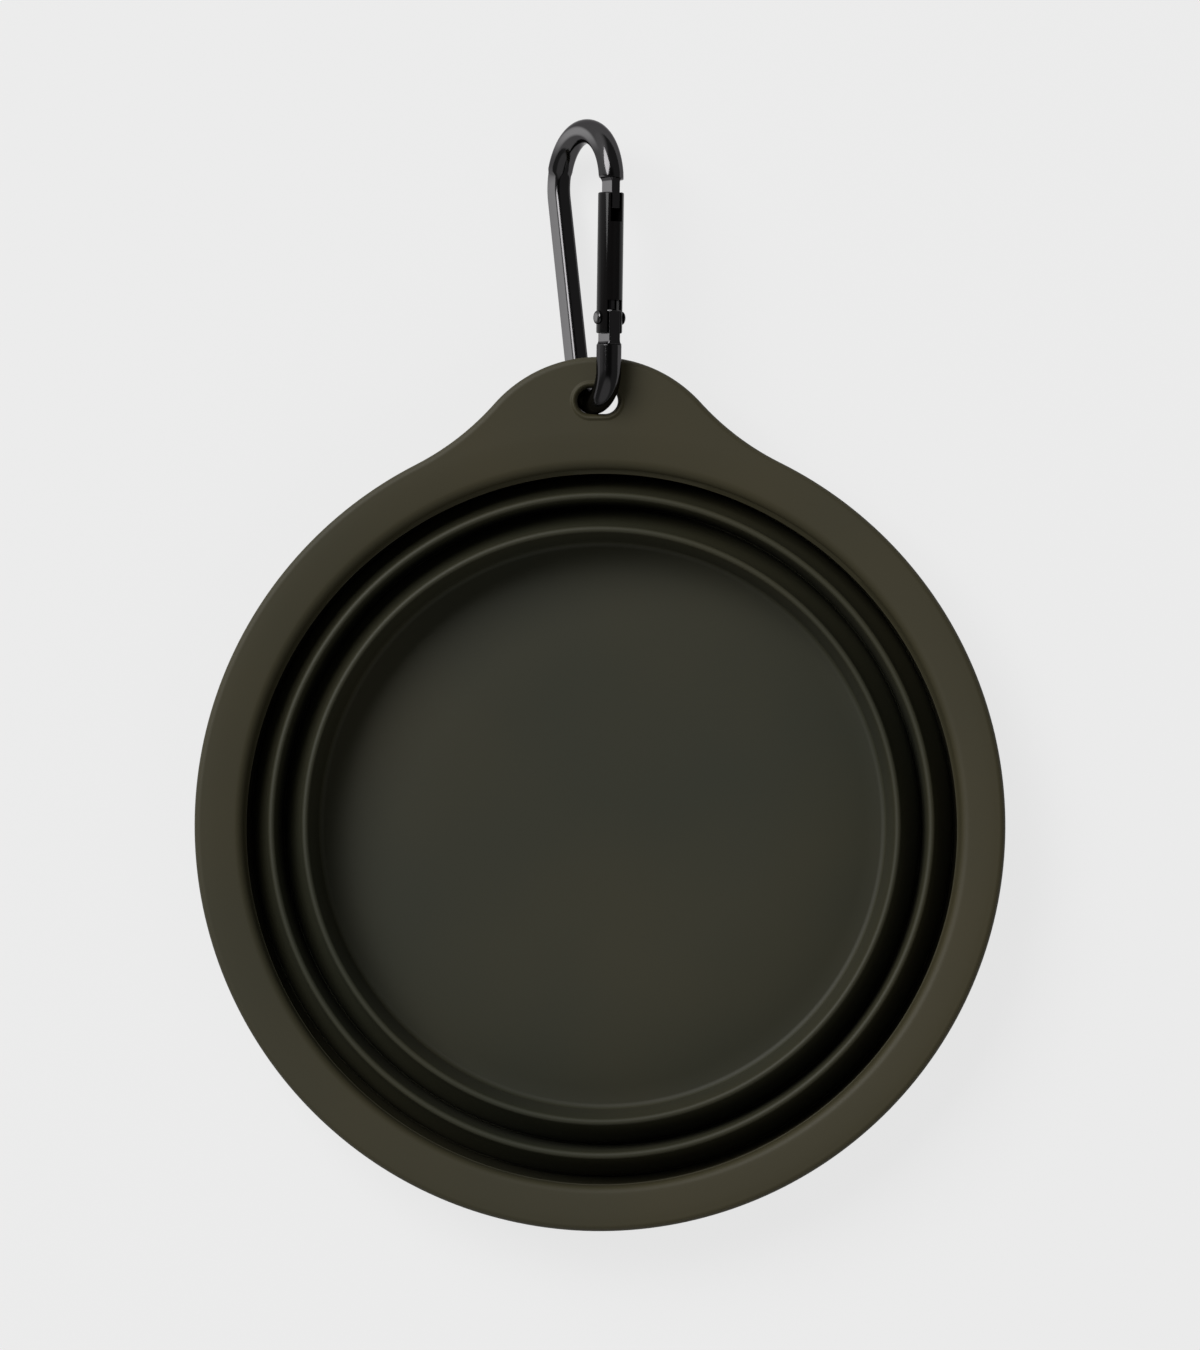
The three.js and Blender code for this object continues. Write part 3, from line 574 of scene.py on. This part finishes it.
def slot_ring(sizes, offset, height):
    """Ring round the tab's slot, grown by an offset, at one height."""
    radius = sizes.slot_width / 2 + offset
    half = (sizes.slot_length - sizes.slot_width) / 2
    middle = sizes.slot_distance
    points = arc((half, middle), radius, -90, 90, 24) + arc((-half, middle), radius, 90, 270, 24)
    return [Vector((x, y, height)) for x, y in points]


class BOWL_OT_rim(bpy.types.Operator):
    """Add the flat rim with its tab, slot and outer wall"""
    bl_idname = "bowl.rim"
    bl_label = "Rim and tab"

    def execute(self, context):
        sizes = context.scene.bowl_sizes
        top = sizes.rim_top
        under = top - sizes.flange_thickness
        # A narrow level strip beside each round keeps the flats shaded flat.
        strip = 0.05 * MM
        bm = bmesh.new()

        edge = sizes.edge_round
        profile = ([(edge + strip, top)]
                   + [(edge - x, z) for x, z in arc((0, top - edge), edge, 90, 0, 10)]
                   + [(edge - x, z) for x, z in arc((0, under + edge), edge, 0, -90, 10)]
                   + [(edge + strip, under)])
        stations = tab_stations(sizes)
        rows = [[point - normal * inset + Vector((0, 0, z)) for point, normal in stations]
                for inset, z in profile]
        add_strip(bm, rows)
        outer_top, outer_under = rows[0], rows[-1]

        bead = top + sizes.bead_height
        lower = sizes.slot_lower_round
        profile = [(sizes.bead_width + strip, top)]
        profile += [(lerp(sizes.bead_width, sizes.bead_crest, share), lerp(top, bead, rounded(share)))
                    for share in shares(8)]
        profile += [(sizes.bead_crest * (1 + x), bead - sizes.slot_mouth + sizes.slot_mouth * z)
                    for x, z in arc((0, 0), 1, 90, 180, 10)]
        profile += arc((lower, under + lower), lower, 180, 270)
        profile += [(lower + strip, under)]
        rows = [slot_ring(sizes, offset, z) for offset, z in profile]
        add_strip(bm, rows)
        slot_top, slot_under = rows[0], rows[-1]

        rows = self.inner_rows(sizes, top, under, strip)
        add_strip(bm, rows)
        add_flat(bm, [outer_top, rows[0], slot_top])
        add_flat(bm, [outer_under, rows[-1], slot_under])
        piece = piece_from(bm, "bowl_rim", silicone_blasted_mould)
        fit(piece, "rim", "rim")
        return {"FINISHED"}

    def inner_rows(self, sizes, top, under, strip):
        """Rings from the rim's flat over the lip, down the wall, round the valley and up to the flange."""
        segments = sizes.segments
        flat = sizes.rim_radius - sizes.flange_width
        dish_power = 1.5
        tilt = math.atan(dish_power * sizes.dish / (sizes.dish_radius - flat))
        lip = (flat + sizes.lip_round * math.sin(tilt), top - sizes.dish - sizes.lip_round * math.cos(tilt))
        edge = 0.08 * MM
        step = lip[1] - sizes.ledge_drop
        step_foot = step - 0.3 * MM
        undercut_top = step - 1.1 * MM
        undercut_foot = 5.5 * MM
        wall_offset = 0.05 * MM
        tier = tier_radii(sizes, flat + wall_offset, 0)
        fold = sizes.rim_foot - sizes.valley_width
        root = 0.6 * MM
        # Folded by hand, the flat's inner edge and the step below the lip sit a little off centre.
        flat_aside = Vector((3, -1)).normalized() * sizes.flat_shift
        lip_aside = Vector((1, -1)).normalized() * sizes.lip_shift
        ledge_aside = Vector((1, -2)).normalized() * sizes.ledge_shift
        rows = [circle(sizes.dish_radius + strip, top, segments)]
        for share in shares(8):
            radius = lerp(sizes.dish_radius, flat, share)
            height = top - sizes.dish * share ** dish_power
            rows.append(circle(radius, height, segments, flat_aside * share))
        lip_steps = 14
        lip_points = arc(lip, sizes.lip_round, 90 + math.degrees(tilt), 178, lip_steps)
        for share, (radius, height) in zip(shares(lip_steps), lip_points):
            rows.append(circle(radius, height, segments, flat_aside.lerp(lip_aside, rounded(share))))
        for radius, height in arc((sizes.ledge_radius + edge, step), edge, 90, 180, 4):
            rows.append(circle(radius, height, segments, ledge_aside))
        rows.append(circle(sizes.ledge_radius, step_foot, segments, ledge_aside))
        rows.append(circle(sizes.rim_undercut, undercut_top, segments))
        rows.append(circle(sizes.rim_undercut, undercut_foot, segments))
        section = (valley_section(sizes, fold, sizes.rim_foot)
                   + hook_section(sizes, fold, tier["outer_foot"])
                   + arc((tier["outer_top"] + root, under - root), root, 180, 90, 6)
                   + [(tier["outer_top"] + root + strip, under)])
        return rows + [circle(radius, height, segments, tier_aside(sizes, height))
                       for radius, height in section]


class BOWL_OT_folds(bpy.types.Operator):
    """Add the two thin folds between the tiers"""
    bl_idname = "bowl.folds"
    bl_label = "Folds"

    def execute(self, context):
        sizes = context.scene.bowl_sizes
        down = shares(24)
        middle = tier_radii(sizes, sizes.middle_crest, sizes.wall_lean)
        folds = (
            ("bowl_lower_fold", "lower_fold", sizes.base_crest, middle["inner_foot"], "middle", "base"),
            ("bowl_upper_fold", "upper_fold", sizes.middle_crest, sizes.rim_foot, "rim", "middle"),
        )
        for name, node, crest, wall, outer_body, inner_body in folds:
            tier = tier_radii(sizes, crest, 0)
            foot = wall - sizes.valley_width
            outside = [(lerp(tier["cap_edge"], foot, rounded(share)), lerp(SEAM_TOP, SEAM_FOOT, share))
                       for share in down]
            tip = foot - sizes.fold_foot
            inside = [(lerp(tip, tier["fold_inner"], rounded(share)), lerp(SEAM_FOOT, SEAM_TOP, share))
                      for share in down]
            piece = turned(name, outside + inside, sizes)
            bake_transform(piece)
            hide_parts(node)
        return {"FINISHED"}


def carabiner_matrix():
    """Place of the carabiner: x along the swing's axis, y along the gate, z towards the gate's side."""
    across = Vector(JOINTS["carabiner_swing"]["axis"]).normalized()
    along = Vector(JOINTS["plunger_slide"]["axis"]).normalized()
    matrix = Matrix((across, along, across.cross(along))).transposed().to_4x4()
    matrix.translation = Vector(JOINTS["carabiner_swing"]["pos_m"])
    return matrix


def gate_matrix():
    """Place of the gate: the carabiner's axes with the rivet at the origin."""
    matrix = carabiner_matrix()
    matrix.translation = Vector(JOINTS["gate_hinge"]["pos_m"])
    return matrix


def spine_lean(sizes):
    """Angle between spine and gate, from the difference of the two bends."""
    return 2 * math.atan2(sizes.wide_bend - sizes.narrow_bend, sizes.bend_spacing)


def bar_ring(place, heading, half_width, half_depth, corner, skew=0):
    """Section of the bar: a rounded rectangle, or a circle where the corner radius is all of it."""
    outward = Vector((0, math.sin(heading), -math.cos(heading)))
    ring = []
    for turn, across_sign, out_sign in ((0, 1, 1), (90, -1, 1), (180, -1, -1), (270, 1, -1)):
        centre = (across_sign * (half_width - corner), out_sign * (half_depth - corner))
        for across, out in arc(centre, corner, turn, turn + 90, 9):
            ring.append(Vector((across, place[0] - skew * across, place[1])) + outward * out)
    return ring


def bar_stations(sizes):
    """Places, headings and sections along the bar, from the hinge tongue round to the nose tongue."""
    bar = sizes.bar_radius
    narrow = sizes.narrow_bend
    wide = sizes.wide_bend
    lean = spine_lean(sizes)
    wide_centre = (sizes.bend_spacing, narrow - wide)
    nose_straight = 0.7 * MM
    nose_angle = math.acos((sizes.nose_end + nose_straight - sizes.bend_spacing) / wide)
    spine = (sizes.spine_width / 2, sizes.spine_depth / 2, sizes.spine_corner)
    run_out = sizes.press_run_out

    def on_bend(centre, radius, angle):
        """Point of the bar's middle line on a bend."""
        return (centre[0] + radius * math.cos(angle), centre[1] + radius * math.sin(angle))

    def pressed(share):
        """Half width, half depth and corner of the bar, from round to pressed flat."""
        return [lerp(bar, size, rounded(min(max(share, 0), 1))) for size in spine]

    stations = tongue_stations(sizes, sizes.hinge_tongue_thickness / 2, sizes.hinge_tongue_depth / 2,
                               sizes.hinge_tongue_end, sizes.hook_shoulder, narrow)
    bend_steps = 40
    spine_steps = 48
    for share in shares(bend_steps):
        turn = (math.pi - lean) * share
        stations.append((on_bend((0, 0), narrow, math.pi / 2 + turn), math.pi + turn, bar, bar, bar))
    foot = Vector(stations[-1][0])
    head = Vector(on_bend(wide_centre, wide, -math.pi / 2 - lean))
    run = (head - foot).length
    for share in shares(spine_steps)[1:-1]:
        stations.append((foot.lerp(head, share), -lean, *pressed(share * run / run_out)))
    total = math.pi / 2 + lean + nose_angle
    for share in shares(bend_steps):
        turn = total * share
        section = pressed(1 - (turn * wide - sizes.press_reach) / run_out)
        stations.append((on_bend(wide_centre, wide, turn - math.pi / 2 - lean), turn - lean, *section))
    nose_line = narrow + sizes.nose_tongue_offset
    nose = tongue_stations(sizes, sizes.nose_tongue_thickness / 2, sizes.nose_tongue_depth / 2,
                           sizes.nose_tongue_end, sizes.nose_end, nose_line, at_nose=True)
    return stations + nose[::-1]


def tongue_stations(sizes, half_width, half_depth, end, shoulder, line, at_nose=False):
    """Sections of a tongue from its free end to the bar's shoulder, where the cutter left a hollow."""
    corner = sizes.tongue_corner
    bar = sizes.bar_radius
    inward = math.copysign(1, shoulder - end)
    skew = sizes.nose_skew if at_nose else 0
    stations = []

    def add(place, *section):
        """One more section across the gate line."""
        stations.append(((place, line), math.pi, *section))

    for inset, rise in arc((corner, 0), corner, 180, 90, 4):
        shrink = corner - rise
        add(end + inward * inset, half_width - shrink, half_depth - shrink, corner)
    # A ring beside each rounded edge keeps the long faces shaded straight.
    beside = 0.03 * MM
    add(end + inward * (corner + beside), half_width, half_depth, corner)
    if at_nose:
        # Between gate and bar the tongue keeps more of the bar's inner side.
        gate_top = sizes.hinge_place + sizes.gate_reach
        neck_from = gate_top + 0.05 * MM
        neck_to = gate_top + 0.2 * MM
        add(neck_from, half_width, half_depth, corner)
        line += half_depth - sizes.nose_neck_depth / 2
        half_depth = sizes.nose_neck_depth / 2
        add(neck_to, half_width, half_depth, corner)
    fillet = sizes.tongue_fillet
    for share in shares(8):
        angle = math.pi / 2 * share
        grown = 1 - math.cos(angle)
        add(shoulder - inward * fillet * (1 - math.sin(angle)), half_width + fillet * grown,
            lerp(half_depth, bar, grown), lerp(corner, half_width, grown), skew * grown)
    edge = 0.15 * MM
    for inset, rise in arc((edge, 0), edge, 180, 90, 3):
        half = bar - edge + rise
        add(shoulder + inward * inset, half, half, half, skew)
    add(shoulder + inward * (edge + beside), bar, bar, bar, skew)
    return stations


class BOWL_OT_carabiner_frame(bpy.types.Operator):
    """Add the carabiner's bent bar"""
    bl_idname = "bowl.carabiner_frame"
    bl_label = "Carabiner frame"

    def execute(self, context):
        sizes = context.scene.bowl_carabiner
        bm = bmesh.new()
        add_strip(bm, capped([bar_ring(*station) for station in bar_stations(sizes)]))
        piece = piece_from(bm, "carabiner_bar", black_nickel_plated_bar,
                           crease=32, matrix=carabiner_matrix())
        fit(piece, "carabiner", "carabiner_frame")
        return {"FINISHED"}


def along_gate(section, sides=64):
    """Rings about the gate's axis from points of radius and place along it."""
    return [[point.yzx for point in circle(radius, place, sides)] for radius, place in section]


def cutter(bm):
    """Object for one cut, removed once the cut is made."""
    bmesh.ops.recalc_face_normals(bm, faces=bm.faces)
    return add_object(bm, "cutter")


def box_cutter(width, from_y, to_y, from_z, to_z):
    """Cutter for a slot across the gate's axis."""
    bm = bmesh.new()
    place = Matrix.Translation((0, (from_y + to_y) / 2, (from_z + to_z) / 2))
    scale = Matrix.Diagonal((width, to_y - from_y, to_z - from_z, 1))
    bmesh.ops.create_cube(bm, size=1, matrix=place @ scale)
    return cutter(bm)


def cut(bm, cutters):
    """The mesh less each cutter, as a new bmesh."""
    body = cutter(bm)
    for tool in cutters:
        modifier = body.modifiers.new("cut", "BOOLEAN")
        modifier.operation = "DIFFERENCE"
        modifier.solver = "EXACT"
        modifier.object = tool
    evaluated = body.evaluated_get(bpy.context.evaluated_depsgraph_get())
    result = bmesh.new()
    result.from_mesh(evaluated.to_mesh())
    evaluated.to_mesh_clear()
    for tool in [body, *cutters]:
        mesh = tool.data
        bpy.data.objects.remove(tool)
        bpy.data.meshes.remove(mesh)
    return result


class BOWL_OT_carabiner_gate(bpy.types.Operator):
    """Add the carabiner's slotted gate"""
    bl_idname = "bowl.carabiner_gate"
    bl_label = "Carabiner gate"

    def execute(self, context):
        sizes = context.scene.bowl_carabiner
        radius = sizes.gate_radius
        chamfer = sizes.gate_chamfer
        tail = -sizes.gate_tail
        reach = sizes.gate_reach
        beyond = 2 * radius
        play = sizes.side_clearance
        bm = bmesh.new()
        add_strip(bm, along_gate(
            [(0, tail)] + arc((radius - chamfer, tail + chamfer), chamfer, -90, 0, 4)
            + arc((radius - chamfer, reach - chamfer), chamfer, 0, 90, 4) + [(0, reach)]))
        hinge_slot = box_cutter(sizes.hinge_tongue_thickness + 2 * play, tail - beyond,
                                sizes.hinge_slot_reach, -beyond, beyond)
        nose_floor = sizes.nose_tongue_offset - sizes.nose_tongue_depth / 2 - play
        nose_slot = box_cutter(sizes.nose_tongue_thickness + 2 * play, reach - sizes.nose_slot_length,
                               reach + beyond, nose_floor, beyond)
        hole = bmesh.new()
        add_strip(hole, along_gate([(0, tail - beyond), (sizes.gate_bore, tail - beyond),
                                    (sizes.gate_bore, sizes.bore_end), (0, sizes.bore_end)]))
        result = cut(bm, [hinge_slot, nose_slot, cutter(hole)])
        piece = piece_from(result, "carabiner_gate_sleeve", black_stoved_enamel_gate,
                           crease=30, matrix=gate_matrix())
        fit(piece, "gate", "carabiner_gate")
        return {"FINISHED"}


class BOWL_OT_gate_rivet(bpy.types.Operator):
    """Add the rivet that the gate turns on"""
    bl_idname = "bowl.gate_rivet"
    bl_label = "Gate rivet"

    def execute(self, context):
        sizes = context.scene.bowl_carabiner
        head = sizes.rivet_head_radius
        height = sizes.rivet_head_height
        seat = sizes.rivet_seat
        dome = [(head * x, seat + height * z) for x, z in arc((0, 0), 1, 0, 90)]
        # The undersides of the heads slope a little towards the shank.
        slope = 0.02 * MM
        upper = [(sizes.rivet_radius, seat - slope)] + dome[:-1] + [(0, seat + height)]
        lower = [(r, -z) for r, z in reversed(upper)]
        bm = bmesh.new()
        add_strip(bm, along_gate(lower + upper, sides=48))
        turn = Matrix.Rotation(math.pi / 2, 4, "Z")
        piece = piece_from(bm, "gate_rivet_pin", black_nickel_plated_bar,
                           crease=40, matrix=gate_matrix() @ turn)
        fit(piece, "carabiner", "gate_rivet")
        return {"FINISHED"}


class BOWL_OT_gate_works(bpy.types.Operator):
    """Add the plunger and its coil spring inside the gate"""
    bl_idname = "bowl.gate_works"
    bl_label = "Plunger and spring"

    def execute(self, context):
        sizes = context.scene.bowl_carabiner
        wire = sizes.spring_wire / 2
        head = sizes.gate_bore - sizes.side_clearance
        stem = sizes.spring_radius - wire - sizes.side_clearance
        foot = sizes.plunger_foot
        shoulder = foot + sizes.plunger_head
        stem_end = shoulder + sizes.plunger_stem
        edge = 0.15 * MM
        bm = bmesh.new()
        add_strip(bm, along_gate(
            [(0, foot)] + arc((head - edge, foot + edge), edge, -90, 0, 3)
            + arc((head - edge, shoulder - edge), edge, 0, 90, 3) + [(stem, shoulder)]
            + arc((stem - edge, stem_end - edge), edge, 0, 90, 3) + [(0, stem_end)], sides=32))
        place = gate_matrix()
        plunger = piece_from(bm, "gate_plunger_pin", black_nickel_plated_bar, matrix=place)
        fit(plunger, "plunger", "gate_plunger")

        start = shoulder + sizes.side_clearance + wire
        stop = sizes.bore_end - sizes.side_clearance - wire
        bm = bmesh.new()
        add_strip(bm, capped(self.coil(sizes, wire, start, stop)))
        spring = piece_from(bm, "gate_coil_spring", spring_steel_drawn_wire, crease=40, matrix=place)
        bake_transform(spring)
        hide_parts("gate_spring")
        return {"FINISHED"}

    def coil(self, sizes, wire, start, stop):
        """Rings of wire along the spring's helix."""
        per_turn = 28
        sides = 10
        steps = round(sizes.spring_turns * per_turn)
        climb = (stop - start) / (2 * math.pi * sizes.spring_turns * sizes.spring_radius)
        circle_points = arc((0, 0), wire, 0, 360 - 360 / sides, sides - 1)
        rings = []
        for i in range(steps + 1):
            angle = 2 * math.pi * i / per_turn
            radial = Vector((math.cos(angle), 0, math.sin(angle)))
            along = Vector((-math.sin(angle), climb, math.cos(angle))).normalized()
            side = along.cross(radial)
            centre = radial * sizes.spring_radius + Vector((0, lerp(start, stop, i / steps), 0))
            rings.append([centre + radial * x + side * z for x, z in circle_points])
        return rings


def softbox(name, target, azimuth, elevation, distance, size, power):
    """Soft square lamp in a direction from its target, in degrees from +X and above the floor."""
    lamp = bpy.data.lights.new(name, "AREA")
    lamp.size = size
    lamp.energy = power
    light = bpy.data.objects.new(name, lamp)
    bpy.context.scene.collection.objects.link(light)
    turn = math.radians(azimuth)
    rise = math.radians(elevation)
    away = Vector((math.cos(rise) * math.cos(turn), math.cos(rise) * math.sin(turn), math.sin(rise)))
    light.location = Vector(target) + away * distance
    light.rotation_euler = (-away).to_track_quat("-Z", "Y").to_euler()
    return light


class BOWL_OT_stage(bpy.types.Operator):
    """Add the floor, the lights, the backdrop and the camera"""
    bl_idname = "bowl.stage"
    bl_label = "Stage"

    def execute(self, context):
        scene = context.scene
        scene.view_settings.view_transform = "Standard"
        self.floor()
        middle = (0, 20 * MM, 10 * MM)
        softbox("key_softbox", middle, azimuth=136, elevation=46, distance=3.0, size=1.8, power=86)
        fill = softbox("fill_softbox", middle, azimuth=-45, elevation=40, distance=3.0, size=2.0, power=11)
        # The fill stays out of the plated bar, which mirrors only the key and the room.
        fill.visible_glossy = False
        self.backdrop(scene)
        self.camera(scene)
        return {"FINISHED"}

    def floor(self):
        """Wide floor just below the bowl."""
        reach = 6.0
        gap = 0.05 * MM
        bm = bmesh.new()
        bmesh.ops.create_grid(bm, x_segments=1, y_segments=1, size=reach)
        floor = add_object(bm, "floor")
        floor.data.materials.append(material_of(pale_studio_floor))
        floor.location.z = CAD_BOX[0][2] - gap

    def backdrop(self, scene):
        """Dim room, dark right above, with a pale wall on the key's side and a card on the near side."""
        world = bpy.data.worlds.new("studio")
        scene.world = world
        world.use_nodes = True
        tree = world.node_tree
        tree.nodes.clear()
        way = add_node(tree, "TexCoord").outputs["Generated"]
        height = add_node(tree, "SeparateXYZ", Vector=way).outputs["Z"]
        room = add_node(tree, "MapRange", "SMOOTHSTEP", Value=height,
                        From_Min=0.8, From_Max=0.97, To_Min=0.15, To_Max=0.04)

        def pale_patch(facing, outside, inside, strength):
            """Part of the room about one direction, between two cosines from it."""
            near = add_node(tree, "VectorMath", "DOT_PRODUCT", _0=way, _1=facing)
            return add_node(tree, "MapRange", "SMOOTHSTEP", Value=near,
                            From_Min=outside, From_Max=inside, To_Max=strength)

        wall = pale_patch((-0.7, 0.7, 0.15), outside=0.6, inside=0.95, strength=0.8)
        # The card is what the bend of the hook mirrors.
        card = pale_patch((-0.15, -0.77, 0.62), outside=0.76, inside=0.88, strength=0.3)
        pale = add_node(tree, "Math", "MAXIMUM", _0=wall, _1=card)
        level = add_node(tree, "Math", "ADD", _0=room, _1=pale)
        light = add_node(tree, "Background", Color=(1, 1, 1, 1), Strength=level)
        add_node(tree, "OutputWorld", Surface=light)

    def camera(self, scene):
        """Camera straight above, with the photograph's long lens, framing and slight roll."""
        frame_height = 216.2 * MM
        frame_middle = 24.17 * MM
        distance = 1.0
        roll = math.radians(-0.33)
        lens = bpy.data.cameras.new("camera")
        lens.lens = lens.sensor_width * distance / frame_height
        lens.clip_end = 20
        camera = bpy.data.objects.new("camera", lens)
        scene.collection.objects.link(camera)
        camera.location = (-math.sin(roll) * frame_middle, math.cos(roll) * frame_middle,
                           scene.bowl_sizes.rim_top + distance)
        camera.rotation_euler = (0, 0, roll)
        scene.camera = camera


class BOWL_PT_panel(bpy.types.Panel):
    """Lists the steps that build the bowl"""
    bl_idname = "BOWL_PT_panel"
    bl_label = "Collapsible Bowl"
    bl_space_type = "VIEW_3D"
    bl_region_type = "UI"
    bl_category = "Bowl"

    def draw(self, context):
        for operator in OPERATORS:
            self.layout.operator(operator.bl_idname)


OPERATORS = (
    BOWL_OT_base, BOWL_OT_middle_wall, BOWL_OT_rim, BOWL_OT_folds, BOWL_OT_carabiner_frame,
    BOWL_OT_carabiner_gate, BOWL_OT_gate_rivet, BOWL_OT_gate_works, BOWL_OT_stage,
)
GROUPS = (("bowl_sizes", BowlSizes), ("bowl_carabiner", CarabinerSizes), ("bowl_finishes", Finishes))


def register():
    for name, group in GROUPS:
        bpy.utils.register_class(group)
        setattr(bpy.types.Scene, name, PointerProperty(type=group))
    for item in (*OPERATORS, BOWL_PT_panel):
        bpy.utils.register_class(item)


def unregister():
    for item in (BOWL_PT_panel, *reversed(OPERATORS)):
        bpy.utils.unregister_class(item)
    for name, group in reversed(GROUPS):
        delattr(bpy.types.Scene, name)
        bpy.utils.unregister_class(group)


def main():
    """Builds every piece and the stage."""
    register()
    for operator in OPERATORS:
        group, name = operator.bl_idname.split(".")
        getattr(getattr(bpy.ops, group), name)()


if __name__ == "__main__":
    main()
